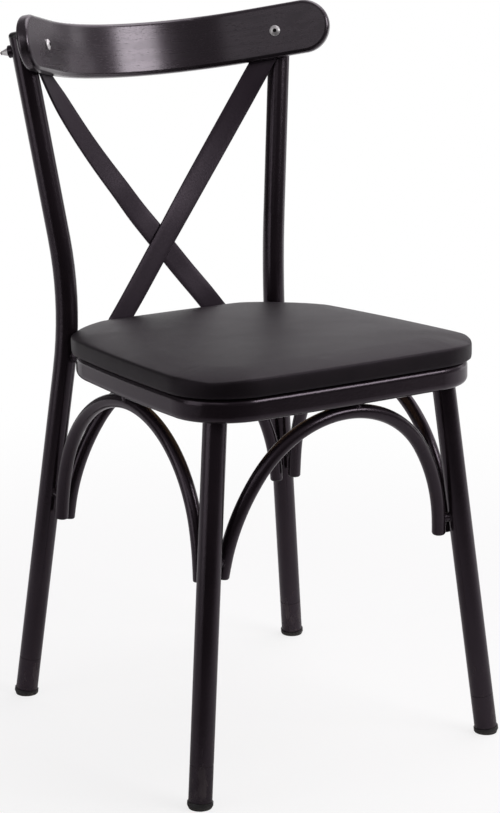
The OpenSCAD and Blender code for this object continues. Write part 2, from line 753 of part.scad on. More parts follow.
// The rear strap steps back by one thickness where the straps cross.
function strap_step(z) = strap_t * smooth((cross_reach - abs(z - strap_cross)) / cross_ramp);
function strap_corners(i, step) = let(p = strap_path[i], t = strap_along(i), n = strap_face(i),
    w = cross(t, n), c = [p[0], p[1], p[2]] + step * strap_step(p[2]) * n)
    [c + w * strap_w / 2 + n * strap_t / 2, c - w * strap_w / 2 + n * strap_t / 2,
     c - w * strap_w / 2 - n * strap_t / 2, c + w * strap_w / 2 - n * strap_t / 2];

module strap(step) {
    n = len(strap_path);
    polyhedron(
        points = [for (i = [0:n - 1]) each strap_corners(i, step)],
        faces = concat([[0, 1, 2, 3]],
            [for (i = [0:n - 2], k = [0:3]) let(a = 4 * i + k, b = 4 * i + (k + 1) % 4)
                each [[a, a + 4, b], [b, a + 4, b + 4]]],
            [[4 * n - 1, 4 * n - 2, 4 * n - 3, 4 * n - 4]]));
}

module strap_holes() {
    in_rail_end() translate([rail_bolt_x, 0, 0]) rotate([-90, 0, 0])
        cylinder(h = 2 * post_back, r = bolt_d / 2 + bolt_clearance);
    rivet_axis_world() translate([0, 0, -2 * strap_t]) cylinder(h = 4 * strap_t, d = rivet_d + 0.2);
}

// Rivet axis in the seat's own level frame, right side, pointing to the rear.
module rivet_axis() {
    r = last_r - hoop_inset;
    side = rivet_x / r;
    aim([rivet_x, last_centre[1] + r * sqrt(1 - side * side), hoop_bottom + hoop_height / 2],
        [side, 1, 0]) children();
}

module rivet_axis_world() {
    mirror([1, 0, 0]) seat_tilt() rivet_axis() children();
}

module strap_front() {
    color(coat) difference() {
        strap(0);
        strap_holes();
    }
}

module strap_rear() {
    color(coat) mirror([1, 0, 0]) difference() {
        strap(1);
        strap_holes();
    }
}

module strap_rivets() {
    color(coat) both_sides() seat_tilt() rivet_axis() {
        translate([0, 0, strap_t]) intersection() {
            cylinder(h = rivet_d / 2, r = rivet_d);
            translate([0, 0, -rivet_d]) sphere(1.44 * rivet_d);
        }
        translate([0, 0, -rivet_d]) cylinder(h = rivet_d + strap_t + 0.5, d = rivet_d);
    }
}

// Frame of the leaning rail.
module in_rail() {
    translate(rail_middle) rotate([-rail_lean, 0, 0]) children();
}

// Frame of the right straight end: X along it, Y through the board, origin on the front face.
module in_rail_end() {
    in_rail() translate([rail_r * sin(rail_angle), rail_r * cos(rail_angle) - rail_r, 0])
        rotate([0, 0, -rail_angle]) children();
}

// Section of the board: first axis through it, second axis up.
module rail_section(inset = 0) {
    r = rail_round - inset;
    t = rail_t - 2 * inset;
    h = rail_h - 2 * inset;
    translate([inset, -h / 2]) {
        translate([r, 0]) square([t - 2 * r, h]);
        translate([0, r]) square([t, h - 2 * r]);
        for (x = [r, t - r], y = [r, h - r]) translate([x, y]) circle(r, $fn = 32);
    }
}

module rail_end_section() {
    r = rail_round;
    square([rail_h / 2 - r, rail_t]);
    translate([0, r]) square([rail_h / 2, rail_t - 2 * r]);
    for (y = [r, rail_t - r]) translate([rail_h / 2 - r, y]) circle(r);
}

module rail_board() {
    in_rail() translate([0, -rail_r, 0]) rotate([0, 0, 90 - rail_angle])
        rotate_extrude(angle = 2 * rail_angle, $fn = 240) translate([rail_r, 0]) rail_section();
    both_sides() in_rail_end() {
        translate([-lap, 0, 0]) rotate([90, 0, 90]) linear_extrude(rail_end + 2 * lap)
            rail_section(lap_step);
        translate([rail_end, 0, 0]) rotate([-90, 0, 0]) rotate([0, 0, -90])
            rotate_extrude(angle = 180) rail_end_section();
    }
}

module top_rail() {
    color([0.09, 0.08, 0.09]) difference() {
        rail_board();
        both_sides() in_rail_end() translate([rail_bolt_x, -5, 0]) rotate([-90, 0, 0])
            cylinder(h = rail_t + 10, r = bolt_d / 2 + bolt_clearance);
    }
}

// Depth from the rail's front face to the back of the post.
post_back = rail_t + strap_t + leg_d;

module at_post_back() {
    in_rail_end() translate([rail_bolt_x, post_back, 0]) rotate([-90, 0, 0]) children();
}

// Dome of the bolt head: its foot stands a little inside the flange.
dome_foot_r = bolt_head_d / 2 - 0.4;
dome_rise = bolt_head_h - flange_t;
dome_r = (dome_foot_r * dome_foot_r + dome_rise * dome_rise) / (2 * dome_rise);

module rail_bolts() {
    color(steel) both_sides() in_rail_end() translate([rail_bolt_x, 0, 0]) rotate([-90, 0, 0]) {
        difference() {
            union() {
                translate([0, 0, -flange_t]) cylinder(h = flange_t, d = bolt_head_d);
                intersection() {
                    translate([0, 0, dome_r - bolt_head_h]) sphere(dome_r);
                    translate([0, 0, -bolt_head_h]) cylinder(h = bolt_head_h, r = dome_foot_r);
                }
            }
            translate([0, 0, -bolt_head_h - 1]) cylinder(h = 1 + socket_depth, r = 2.3, $fn = 6);
        }
        cylinder(h = post_back + washer_t + nut_thread, r = bolt_d / 2);
    }
}

// Curved washers between the posts and the nuts.
module post_washers() {
    color(coat) both_sides() difference() {
        at_post_back() translate([0, 0, -5]) cylinder(h = 5 + washer_t, r = washer_d / 2);
        at_post_back() translate([0, 0, -6]) cylinder(h = 8 + washer_t, r = bolt_d / 2 + bolt_clearance);
        aim(rear_bend, rear_high) cylinder(h = norm(rear_high), r = leg_r);
    }
}

module rail_cap_nuts() {
    color(steel) both_sides() at_post_back() translate([0, 0, washer_t]) difference() {
        union() {
            cylinder(h = nut_length - nut_tip_r, r1 = nut_d / 2, r2 = nut_tip_r);
            translate([0, 0, nut_length - nut_tip_r]) sphere(nut_tip_r);
        }
        translate([0, 0, -1]) cylinder(h = 1 + nut_thread, r = bolt_d / 2);
    }
}

// Rows of the covering as [inset, height], from the flange under the board to the crown.
cover_rows = [[flange, 0], [3, 0], [1, 0.8], [0.2, 4], [0, side_height - 8],
    [0.2, side_height - 1.5], [0.7, side_height + 0.15 * rim_rise],
    [1.8, side_height + 0.4 * rim_rise], [3.6, side_height + 0.57 * rim_rise],
    [7.5, side_height + 0.77 * rim_rise], [14, side_height + rim_rise],
    [26, side_height + rim_rise + crown * 0.35],
    [flange, side_height + rim_rise + crown * 0.6]];
// The inside of the covering lies one thickness inwards.
inner_rows = [for (i = [0:len(cover_rows) - 1]) let(r = cover_rows[i],
    d = unit(cover_rows[min(len(cover_rows) - 1, i + 1)] - cover_rows[max(0, i - 1)]))
    i < 2 ? [r[0] + 0.4 * i * cover_t, cover_t] : r + cover_t * [d[1], -d[0]]];

function ring_points(inset, z, scale = 1) = [for (p = full_outline(inset))
    [p[0] * scale, (p[1] - crown_y) * scale + crown_y, z]];
function row_points(rows) = [for (r = rows) each ring_points(r[0], hoop_top + r[1])];
function crown_points(z) = concat(
    ring_points(flange, hoop_top + z + crown * 0.86, 0.62), ring_points(flange, hoop_top + z + crown, 0.3),
    [[0, crown_y, hoop_top + z + crown * 1.03]]);
function ring_faces(a, b, n, flip = false) = [for (k = [0:n - 1])
    let(p = a * n + k, q = a * n + (k + 1) % n, r = b * n + k, s = b * n + (k + 1) % n)
        each flip ? [[p, r, q], [q, r, s]] : [[p, q, r], [q, s, r]]];

module seat_cover() {
    n = len(full_outline(0));
    rows = len(cover_rows);
    outer = concat(row_points(cover_rows), crown_points(side_height + rim_rise));
    inner = concat(row_points(inner_rows), crown_points(side_height + rim_rise - cover_t));
    m = len(outer);
    top = rows + 2;
    outer_faces = concat([for (i = [0:top - 2]) each ring_faces(i, i + 1, n)],
        [for (k = [0:n - 1]) [(top - 1) * n + k, (top - 1) * n + (k + 1) % n, top * n]]);
    inner_faces = [for (f = outer_faces) [f[0] + m, f[2] + m, f[1] + m]];
    rim = [for (k = [0:n - 1]) let(q = (k + 1) % n) each [[k, k + m, q], [q, k + m, q + m]]];
    color([0.16, 0.15, 0.16]) seat_tilt() polyhedron(points = concat(outer, inner),
        faces = [for (f = concat(outer_faces, inner_faces, rim)) [f[2], f[1], f[0]]]);
}

foam_bottom = cover_t + board_t;

module seat_foam() {
    n = len(full_outline(0));
    rows = concat([[1.4 + cover_t, foam_bottom]],
        [for (i = [4:len(inner_rows) - 1]) inner_rows[i]]);
    points = concat(row_points(rows), crown_points(side_height + rim_rise - cover_t),
        [[0, crown_y, hoop_top + foam_bottom]]);
    top = len(rows) + 2;
    faces = concat([for (i = [0:top - 2]) each ring_faces(i, i + 1, n)],
        [for (k = [0:n - 1]) [(top - 1) * n + k, (top - 1) * n + (k + 1) % n, top * n]],
        [for (k = [0:n - 1]) [(k + 1) % n, k, top * n + 1]]);
    color([0.85, 0.8, 0.6]) seat_tilt()
        polyhedron(points = points, faces = [for (f = faces) [f[2], f[1], f[0]]]);
}

module seat_board() {
    color([0.6, 0.5, 0.36]) seat_tilt() difference() {
        translate([0, 0, hoop_top + cover_t]) linear_extrude(board_t)
            polygon(full_outline(3 + cover_t));
        both_sides() for (p = tab_places) translate([p[0], p[1], hoop_top - 1])
            cylinder(h = screw_bite + 1, d = screw_d);
    }
}

module seat_screws() {
    color(steel) seat_tilt() both_sides() for (p = tab_places)
        translate([p[0], p[1], tab_bottom]) {
            difference() {
                translate([0, 0, -screw_head_h]) cylinder(h = screw_head_h, r1 = screw_d, r2 = screw_d + 1);
                translate([0, 0, -screw_head_h - 1]) cylinder(h = 2.4, r = 1.5, $fn = 6);
            }
            cylinder(h = plate_t + hoop_round + screw_bite - 0.5, d = screw_d);
        }
}

module placed() {
    translate([0, shift_y, 0]) children();
}

placed() rear_leg_left();
placed() rear_leg_right();
placed() front_leg_left();
placed() front_leg_right();
placed() seat_hoop();
placed() seat_tabs();
placed() leg_plates();
placed() front_arch();
placed() rear_arch();
placed() left_arch();
placed() right_arch();
placed() arch_end_plugs();
placed() arch_leg_studs();
placed() arch_crown_studs();
placed() seat_spacers();
placed() strap_front();
placed() strap_rear();
placed() strap_rivets();
placed() top_rail();
placed() rail_bolts();
placed() rail_cap_nuts();
placed() post_washers();
placed() post_caps();
placed() glide_front_left();
placed() glide_front_right();
placed() glide_rear_left();
placed() glide_rear_right();
placed() seat_board();
placed() seat_foam();
placed() seat_cover();
placed() seat_screws();
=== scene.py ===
import math

import bpy
from mathutils import Matrix, Vector, noise


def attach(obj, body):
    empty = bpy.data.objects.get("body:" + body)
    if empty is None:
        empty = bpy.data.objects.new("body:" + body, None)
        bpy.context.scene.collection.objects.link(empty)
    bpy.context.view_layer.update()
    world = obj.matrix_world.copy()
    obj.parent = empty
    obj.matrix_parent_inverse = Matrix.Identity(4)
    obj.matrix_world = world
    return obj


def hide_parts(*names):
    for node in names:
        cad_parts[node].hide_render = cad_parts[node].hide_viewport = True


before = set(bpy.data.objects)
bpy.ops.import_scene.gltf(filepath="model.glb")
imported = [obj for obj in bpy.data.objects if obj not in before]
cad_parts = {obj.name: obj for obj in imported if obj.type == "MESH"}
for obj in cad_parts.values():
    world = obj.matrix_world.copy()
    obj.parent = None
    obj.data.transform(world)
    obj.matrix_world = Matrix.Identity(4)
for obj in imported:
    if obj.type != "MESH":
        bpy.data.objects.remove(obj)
for spare in ("Cube", "Light", "Camera"):
    if spare in bpy.data.objects:
        bpy.data.objects.remove(bpy.data.objects[spare], do_unlink=True)
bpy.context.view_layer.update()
print("frame:", len(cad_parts), "CAD nodes")


# A socket that is reckoned with like a number
class Signal:
    def __init__(self, finish, socket):
        self.finish = finish
        self.socket = socket

    def __add__(self, other):
        return self.finish.reckon("ADD", self, other)

    __radd__ = __add__

    def __sub__(self, other):
        return self.finish.reckon("SUBTRACT", self, other)

    def __rsub__(self, other):
        return self.finish.reckon("SUBTRACT", other, self)

    def __mul__(self, other):
        return self.finish.reckon("MULTIPLY", self, other)

    __rmul__ = __mul__


# A material that is built up node by node
class Finish:
    def __init__(self, name):
        self.material = bpy.data.materials.new(name)
        self.material.use_nodes = True
        self.tree = self.material.node_tree
        self.tree.nodes.clear()
        self.shader = self.tree.nodes.new("ShaderNodeBsdfPrincipled")
        out = self.tree.nodes.new("ShaderNodeOutputMaterial")
        self.tree.links.new(self.shader.outputs["BSDF"], out.inputs["Surface"])
        self.spot = self.add("TexCoord", {}, {}, "Object")

    # Any node: its type, its settings, and the values or links of its sockets
    def add(self, kind, settings, sockets, output=0):
        node = self.tree.nodes.new("ShaderNode" + kind)
        for name, value in settings.items():
            setattr(node, name, value)
        for name, value in sockets.items():
            self.feed(node.inputs[name], value)
        return Signal(self, node.outputs[output]) if output is not None else node

    def feed(self, socket, value):
        if isinstance(value, Signal):
            self.tree.links.new(value.socket, socket)
        else:
            socket.default_value = value

    def reckon(self, operation, first, second, clamp=False):
        settings = {"operation": operation, "use_clamp": clamp}
        return self.add("Math", settings, {0: first, 1: second})

    # Cloudy pattern, about 0.5 on average; size is that of its largest spots, in metres
    def clouds(self, size, detail, where=None, roughness=0.5, distortion=0):
        sockets = {"Vector": where or self.spot, "Scale": 1 / size, "Detail": detail,
                   "Roughness": roughness, "Distortion": distortion}
        return self.add("TexNoise", {}, sockets, "Fac")

    # Small cells: the distance to their borders, or with "F1" to their middles
    def cells(self, size, where=None, feature="DISTANCE_TO_EDGE"):
        sockets = {"Vector": where or self.spot, "Scale": 1 / size, "Randomness": 1}
        return self.add("TexVoronoi", {"feature": feature}, sockets, "Distance")

    # 0 below low, 1 above high, soft between; low may be the larger
    def step(self, value, low, high):
        settings = {"interpolation_type": "SMOOTHSTEP", "clamp": True}
        sockets = {"Value": value, "From Min": low, "From Max": high}
        return self.add("MapRange", settings, sockets, "Result")

    def blend(self, amount, first, second):
        settings = {"data_type": "RGBA", "blend_type": "MIX"}
        return self.add("Mix", settings, {0: amount, 6: first, 7: second}, 2)

    def axis(self, name, where=None):
        return self.add("SeparateXYZ", {}, {"Vector": where or self.spot}, name)

    # The object's coordinates after a scale, a turn in degrees and a move
    def mapped(self, move=(0, 0, 0), turn=(0, 0, 0), scale=(1, 1, 1)):
        sockets = {"Vector": self.spot, "Location": move, "Scale": scale,
                   "Rotation": [math.radians(angle) for angle in turn]}
        return self.add("Mapping", {}, sockets, "Vector")

    def bump(self, height, distance, strength, under=None):
        sockets = {"Height": height, "Distance": distance, "Strength": strength}
        if under:
            sockets["Normal"] = under
        return self.add("Bump", {}, sockets, "Normal")

    def vector(self, operation, first, second=(0, 0, 0), output="Vector"):
        return self.add("VectorMath", {"operation": operation}, {0: first, 1: second}, output)

    # Values and links for the shader's own sockets
    def coat(self, **sockets):
        for name, value in sockets.items():
            self.feed(self.shader.inputs[name.replace("_", " ")], value)
        return self.material


def colour(red, green, blue):  # sRGB of 0 to 255 as a linear colour
    def linear(part):
        part = part / 255
        return part / 12.92 if part <= 0.04045 else ((part + 0.055) / 1.055) ** 2.4
    return (linear(red), linear(green), linear(blue), 1)


# Sizes that several pieces share, in metres and degrees; they follow the CAD source

shiftY = -0.03139  # the source measures Y from another line
seatSlope = 1.93  # the seat is lower at the rear
railEnd = {
    "bend": 0.201,  # radius of the bent board's front face
    "angle": 43,  # where the bend ends and the straight end begins
    "lean": 15.5,
    "middle": (0, 0.2612, 0.781),  # middle of the front face, before the shift
    "thick": 0.015,
    "bolt": 0.03,  # from the bend's end to the bolt
}


# Point of the rail's right straight end: along it, through the board and up
def onRailEnd(x, y, z):
    angle = math.radians(railEnd["angle"])
    sin, cos = math.sin(angle), math.cos(angle)
    lean = math.radians(railEnd["lean"])
    across = railEnd["bend"] * sin + x * cos + y * sin
    back = railEnd["bend"] * (cos - 1) - x * sin + y * cos
    middle = railEnd["middle"]
    return (middle[0] + across, middle[1] + back * math.cos(lean) + z * math.sin(lean),
            middle[2] - back * math.sin(lean) + z * math.cos(lean))


sheen = (1, 0.83, 0.99, 1)  # the faint purple cast of every black gloss

# Powder coat of the tubes and of the straps

coatLook = {
    "frame": {"dark": (22, 17, 20), "pale": (32, 26, 30), "rough": 0.21},
    "strap": {"dark": (26, 20, 26), "pale": (34, 27, 34), "rough": 0.42},
    "drift": 0.11,  # size of the areas between dark and pale
    "peel": 0.0034,  # size of the coat's ripples
    "grit": 0.0007,
    "relief": 0.00022,
    "scuff": (92, 86, 84),
    "scuffSize": 0.012,
    "scuffTop": 0.11,  # shoes and floor cloths reach this high
}


def makeCoat(name, tones, scuffed):
    finish = Finish(name)
    peel = finish.clouds(coatLook["peel"], detail=2)
    grit = finish.clouds(coatLook["grit"], detail=1)
    drift = finish.clouds(coatLook["drift"], detail=3)
    base = finish.blend(finish.step(drift, 0.3, 0.7), colour(*tones["dark"]), colour(*tones["pale"]))
    rough = tones["rough"] + 0.1 * (grit - 0.5) + 0.08 * (drift - 0.5)
    if scuffed:
        low = finish.step(finish.axis("Z"), coatLook["scuffTop"], 0.0)
        upright = finish.mapped(scale=(1, 1, 0.35))
        marks = finish.clouds(coatLook["scuffSize"], detail=4, where=upright)
        scuffs = finish.step(marks, 0.52, 0.68) * low
        base = finish.blend(scuffs * 0.35, base, colour(*coatLook["scuff"]))
        rough = rough + scuffs * 0.22
    normal = finish.bump(peel * 0.75 + grit * 0.25, coatLook["relief"], 0.6)
    return finish.coat(Base_Color=base, Roughness=rough, Normal=normal, Specular_Tint=sheen)


frameCoat = makeCoat("frameCoat", coatLook["frame"], True)
strapCoat = makeCoat("strapCoat", coatLook["strap"], False)
print("materials: powder coat")

# Stained wood of the top rail

railLook = {
    "dark": (12, 10, 11),
    "pale": (29, 24, 27),
    "pore": (9, 7, 8),
    "grain": (9, 95),  # waves per metre along and across the board
    "bands": (3.5, 32),
    "pores": (85, 900),
    "waver": 0.05,  # how far the grain strays along the board
    "relief": 0.00022,
    "rough": 0.25,
    "gloss": 0.7,
    "lacquer": 0.5,  # weight of the clear coat
    "lacquerRough": 0.2,
}


def makeRailWood():
    finish = Finish("railWood")
    middle = Vector(railEnd["middle"]) + Vector((0, shiftY, 0))
    # Level the rail and put the bend's axis at the origin
    turned = Matrix.Rotation(math.radians(railEnd["lean"]), 3, "X") @ middle
    back = Vector((0, railEnd["bend"], 0)) - turned
    level = finish.mapped(move=back, turn=(railEnd["lean"], 0, 0))
    x = finish.axis("X", level)
    y = finish.axis("Y", level)
    height = finish.axis("Z", level)
    angle = finish.add("Math", {"operation": "ARCTAN2"}, {0: x, 1: y})
    along = angle * railEnd["bend"]
    radius = finish.add("Math", {"operation": "SQRT"}, {0: x * x + y * y})
    along = along + finish.clouds(0.09, detail=1) * railLook["waver"]

    def stretched(name):
        alongScale, acrossScale = railLook[name]
        sockets = {"X": along * alongScale, "Y": radius * acrossScale, "Z": height * acrossScale}
        return finish.add("CombineXYZ", {}, sockets, "Vector")

    grain = finish.clouds(1, detail=5, where=stretched("grain"), roughness=0.6, distortion=0.4)
    broad = finish.clouds(1, detail=2, where=stretched("bands"), distortion=0.8)
    pores = finish.cells(1, where=stretched("pores"), feature="F1")
    pore = finish.step(pores, 0.24, 0.1)
    streak = finish.step(grain * 0.6 + broad * 0.4, 0.36, 0.64)
    base = finish.blend(streak, colour(*railLook["dark"]), colour(*railLook["pale"]))
    base = finish.blend(pore * 0.7, base, colour(*railLook["pore"]))
    rough = railLook["rough"] + 0.06 * (1 - streak) + 0.12 * pore
    relief = streak * 0.35 - pore * 0.5 + grain * 0.3
    normal = finish.bump(relief, railLook["relief"], 0.55)
    return finish.coat(Base_Color=base, Roughness=rough, Normal=normal,
                       Specular_IOR_Level=railLook["gloss"], Specular_Tint=sheen,
                       Coat_Weight=railLook["lacquer"], Coat_Roughness=railLook["lacquerRough"])


railWood = makeRailWood()
print("materials: stained wood")

# Plated bolts and nuts, the zinc screws under the seat, and the staples

platingLook = {
    "bright": {"tint": (236, 234, 234), "rough": 0.42, "tarnish": 0.3},
    "screw": {"tint": (206, 204, 192), "rough": 0.34, "tarnish": 0.7},
    "staple": {"tint": (198, 200, 204), "rough": 0.3, "tarnish": 0.5},
    "dull": (138, 132, 126),
    "spots": 0.004,  # size of the tarnish
    "lines": 0.0004,  # size of the fine level lines in the metal
    # colour of the painted shade in the bolts' hexagon sockets
    "socketShade": (46, 44, 44),
    "socketShadeRim": (0.0026, 0.0022),  # where the painted shade in a bolt's hexagon socket ends, from its axis
}


def makePlating(name, metal, sockets=False):
    finish = Finish(name)
    lines = finish.clouds(platingLook["lines"], detail=2, where=finish.mapped(scale=(1, 1, 6)))
    spots = finish.step(finish.clouds(platingLook["spots"], detail=4), 0.5, 0.75)
    tarnish = metal["tarnish"]
    base = finish.blend(spots * tarnish, colour(*metal["tint"]), colour(*platingLook["dull"]))
    rough = metal["rough"] + 0.12 * (lines - 0.5) + 0.2 * tarnish * spots
    if sockets:
        # Painted shade in the bolts' hexagon sockets, found by the distance from the bolts' axes
        face = Vector(onRailEnd(railEnd["bolt"], 0, 0)) + Vector((0, shiftY, 0))
        way = Vector(onRailEnd(railEnd["bolt"], 1, 0)) - Vector(onRailEnd(railEnd["bolt"], 0, 0))
        right = finish.vector("ABSOLUTE", finish.spot)
        aside = finish.vector("CROSS_PRODUCT", finish.vector("SUBTRACT", right, face), way)
        away = finish.vector("LENGTH", aside, output="Value")
        socketShade = finish.step(away, *platingLook["socketShadeRim"])
        base = finish.blend(socketShade, base, colour(*platingLook["socketShade"]))
        rough = rough + socketShade * 0.2
    normal = finish.bump(lines, 0.00003, 0.4)
    return finish.coat(Base_Color=base, Metallic=1.0, Roughness=rough, Normal=normal)


brightSteel = makePlating("brightSteel", platingLook["bright"], sockets=True)
screwSteel = makePlating("screwSteel", platingLook["screw"])
stapleSteel = makePlating("stapleSteel", platingLook["staple"])

# Moulded plastic of the caps, plugs and glides

plasticLook = {
    "cap": {"dark": (19, 18, 19), "pale": (26, 25, 26), "rough": 0.36},
    "glide": {"dark": (24, 23, 23), "pale": (31, 30, 30), "rough": 0.5},
    "spark": 0.0009,  # size of the fine spark texture
    "relief": 0.00012,
    "worn": (120, 115, 108),
    "wornTop": 0.006,  # height over the floor that wear reaches
}


def makePlastic(name, tones, worn):
    finish = Finish(name)
    spark = finish.clouds(plasticLook["spark"], detail=3)
    drift = finish.step(finish.clouds(0.02, detail=2), 0.35, 0.65)
    base = finish.blend(drift, colour(*tones["dark"]), colour(*tones["pale"]))
    rough = tones["rough"] + 0.1 * (spark - 0.5)
    if worn:
        low = finish.step(finish.axis("Z"), plasticLook["wornTop"], 0.0)
        scratches = finish.clouds(0.0016, detail=3, where=finish.mapped(scale=(1, 4, 1)))
        wear = finish.step(scratches, 0.45, 0.6) * low
        base = finish.blend(wear * 0.6, base, colour(*plasticLook["worn"]))
        rough = rough + wear * 0.25
    normal = finish.bump(spark, plasticLook["relief"], 0.5)
    return finish.coat(Base_Color=base, Roughness=rough, Normal=normal)


capPlastic = makePlastic("capPlastic", plasticLook["cap"], False)
glidePlastic = makePlastic("glidePlastic", plasticLook["glide"], True)
print("materials: steel and plastic")

# Plywood of the seat board: rotary-cut face veneer and banded edges

plywoodLook = {
    "dark": (196, 160, 116),
    "pale": (214, 184, 142),
    "fibre": (158, 120, 80),
    "endGrain": (128, 92, 58),
    "plies": 700,  # pairs of veneers in a metre
    "rings": (24, 3.2, 40),  # the veneer's growth rings, drawn out from front to back
    "ringCount": 9,
    "fibres": (900, 30, 900),
    "relief": 0.0002,
    "rough": 0.62,
}


def makePlywood():
    finish = Finish("plywood")
    plies = finish.axis("Z", finish.mapped(turn=(seatSlope, 0, 0))) * plywoodLook["plies"]
    band = finish.add("Math", {"operation": "FRACT"}, {0: plies})
    layer = finish.step(band, 0.42, 0.5) - finish.step(band, 0.92, 1.0)
    flow = finish.clouds(1, detail=4, where=finish.mapped(scale=plywoodLook["rings"]), distortion=1.4)
    flow = flow * plywoodLook["ringCount"]
    contour = finish.add("Math", {"operation": "PINGPONG"}, {0: flow, 1: 0.5})
    fibres = finish.clouds(1, detail=3, where=finish.mapped(scale=plywoodLook["fibres"]))
    veneer = finish.step(contour, 0.05, 0.45)
    base = finish.blend(veneer, colour(*plywoodLook["dark"]), colour(*plywoodLook["pale"]))
    fibre = finish.step(fibres, 0.5, 0.72)
    base = finish.blend(fibre * 0.45, base, colour(*plywoodLook["fibre"]))
    facing = finish.axis("Z", finish.add("NewGeometry", {}, {}, "Normal"))
    upright = finish.step(finish.add("Math", {"operation": "ABSOLUTE"}, {0: facing}), 0.5, 0.2)
    base = finish.blend(upright * layer * 0.7, base, colour(*plywoodLook["endGrain"]))
    rough = plywoodLook["rough"] + 0.14 * (fibres - 0.5)
    normal = finish.bump(fibres * 0.6 + contour * 0.2, plywoodLook["relief"], 0.5)
    return finish.coat(Base_Color=base, Roughness=rough, Normal=normal)


plywood = makePlywood()

# Leatherette of the seat

leatherLook = {
    "dark": (15, 12, 14),
    "pale": (21, 17, 19),
    # colour of the painted shade in the grain's creases
    "crease": (11, 9, 10),
    "hide": 0.05,  # size of the areas between dark and pale
    "pebble": 0.0013,  # size of the grain's pebbles
    "fine": 0.00055,  # size of the fine grain between the pebbles' creases
    "wobble": 0.006,
    "relief": 0.00016,
    "swell": 0.035,  # size of the soft waves in the covering
    "swellDepth": 0.0011,
    "rough": 0.43,
    "gloss": 0.24,
}


def makeLeatherette():
    finish = Finish("leatherette")
    wobble = finish.clouds(leatherLook["wobble"], detail=2)
    crease = finish.step(finish.cells(leatherLook["pebble"]), 0.0, 0.16)
    fineCrease = finish.step(finish.cells(leatherLook["fine"]), 0.0, 0.2)
    hide = finish.clouds(leatherLook["hide"], detail=3)
    tone = finish.step(hide, 0.3, 0.7)
    base = finish.blend(tone, colour(*leatherLook["dark"]), colour(*leatherLook["pale"]))
    # Painted shade: the grain's creases are darkened
    base = finish.blend((1 - crease) * 0.6, base, colour(*leatherLook["crease"]))
    rough = leatherLook["rough"] + 0.08 * (hide - 0.5) + 0.08 * (1 - crease)
    relief = crease * 0.55 + fineCrease * 0.2 + wobble * 0.3
    swell = finish.bump(finish.clouds(leatherLook["swell"], detail=2), leatherLook["swellDepth"], 0.35)
    normal = finish.bump(relief, leatherLook["relief"], 0.5, under=swell)
    return finish.coat(Base_Color=base, Roughness=rough, Normal=normal,
                       Specular_IOR_Level=leatherLook["gloss"], Specular_Tint=sheen)


leatherette = makeLeatherette()
print("materials: plywood and leatherette")

# Every CAD node that isn't named here has the frame's coat
nodeLooks = {
    "strap_front": strapCoat,
    "strap_rear": strapCoat,
    "strap_rivets": strapCoat,
    "top_rail": railWood,
    "rail_bolts": brightSteel,
    "rail_cap_nuts": brightSteel,
    "seat_screws": screwSteel,
    "post_caps": capPlastic,
    "arch_end_plugs": capPlastic,
    "glide_front_left": glidePlastic,
    "glide_front_right": glidePlastic,
    "glide_rear_left": glidePlastic,
    "glide_rear_right": glidePlastic,
    "seat_board": plywood,
    "seat_foam": plywood,
    "seat_cover": leatherette,
}
for name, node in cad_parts.items():
    for slot in node.material_slots:
        slot.material = nodeLooks.get(name, frameCoat)


def deselect():
    bpy.ops.object.select_all(action="DESELECT")


# Seat pad

pad = {
    # Arcs of the outline from the front middle: radius and angle
    "arcs": ((4.213, 1.7), (0.0751, 89.5), (2.289, 5.7), (0.1086, 81.5)),
    "front": -0.24759,
    "slopeLine": (0, -0.24139, 0.4576),  # point of the hoop's top that the slope turns about
    # Rows from the fold under the board to the top: inset from the outline and height
    "profile": ((0.0415, 0.0003), (0.036, 0.0002), (0.0055, 0.0002), (0.0022, 0.0003),
                (0.0006, 0.0012), (0.0001, 0.004), (0, 0.011), (0.0001, 0.0184),
                (0.0005, 0.02), (0.0015, 0.021), (0.0033, 0.0216), (0.0075, 0.0227),
                (0.014, 0.0241), (0.026, 0.026), (0.042, 0.0274)),
    "foldRows": 2,  # rows of the fold, which is pleated in the corners
    "pleat": 0.0007,
    "pleatEvery": 3,  # points round the outline
    "firmRows": 11,  # rows that the board holds
    "crown": -0.0004,  # rise from the last row to the middle before the seat is filled
    "crownReach": 0.16,
    "middle": -0.0465,
    "around": 288,
    "cornerDrop": 0.0032,  # how much lower the top edge is in the corners
    "dropHeight": 0.018,  # the drop grows up to this height
    "cornerWidth": 0.75,
    "pressure": 4,
    "stiffness": 40,
    "moments": 20,  # frames of the filling
    "cap": 0.0028,  # farthest that the filling pushes a point
}


def outward(angle):  # direction in degrees from the front middle, seen from above
    return Vector((math.sin(math.radians(angle)), -math.cos(math.radians(angle))))


# The outline is a chain of arcs, right half from the front middle to the rear middle
def chainArcs():
    arcs = []
    place = Vector((0, pad["front"]))
    start = 0
    for radius, angle in pad["arcs"]:
        centre = place - radius * outward(start)
        arcs.append((centre, radius, start, angle))
        start += angle
        place = centre + radius * outward(start)
    radius = place.x / math.sin(math.radians(start))
    arcs.append((place - radius * outward(start), radius, start, 180 - start))
    return arcs


padArcs = chainArcs()
halfWay = sum(radius * math.radians(angle) for centre, radius, start, angle in padArcs)


# Point on the outline and its outward direction, at a share of the way round
def onOutline(share, inset):
    left = share > 0.5
    walk = (1 - share if left else share) * 2 * halfWay
    for centre, radius, start, angle in padArcs:
        length = radius * math.radians(angle)
        if walk <= length + 1e-9:
            break
        walk -= length
    turn = math.radians(start) + walk / radius
    out = Vector((math.sin(turn), -math.cos(turn)))
    spot = centre + (radius - inset) * out
    if left:
        return Vector((-spot.x, spot.y)), Vector((-out.x, out.y))
    return spot, out


def onSeat(x, y, height):  # a point at a height above the hoop's sloping top
    pivot = Vector(pad["slopeLine"])
    offset = Vector((x, y - pivot.y, height))
    return pivot + Matrix.Rotation(math.radians(-seatSlope), 3, "X") @ offset


def inCorner(out):  # 1 in the middle of a corner, 0 on the straight sides
    return max(0, 1 - abs(abs(out.x) - abs(out.y)) / pad["cornerWidth"])


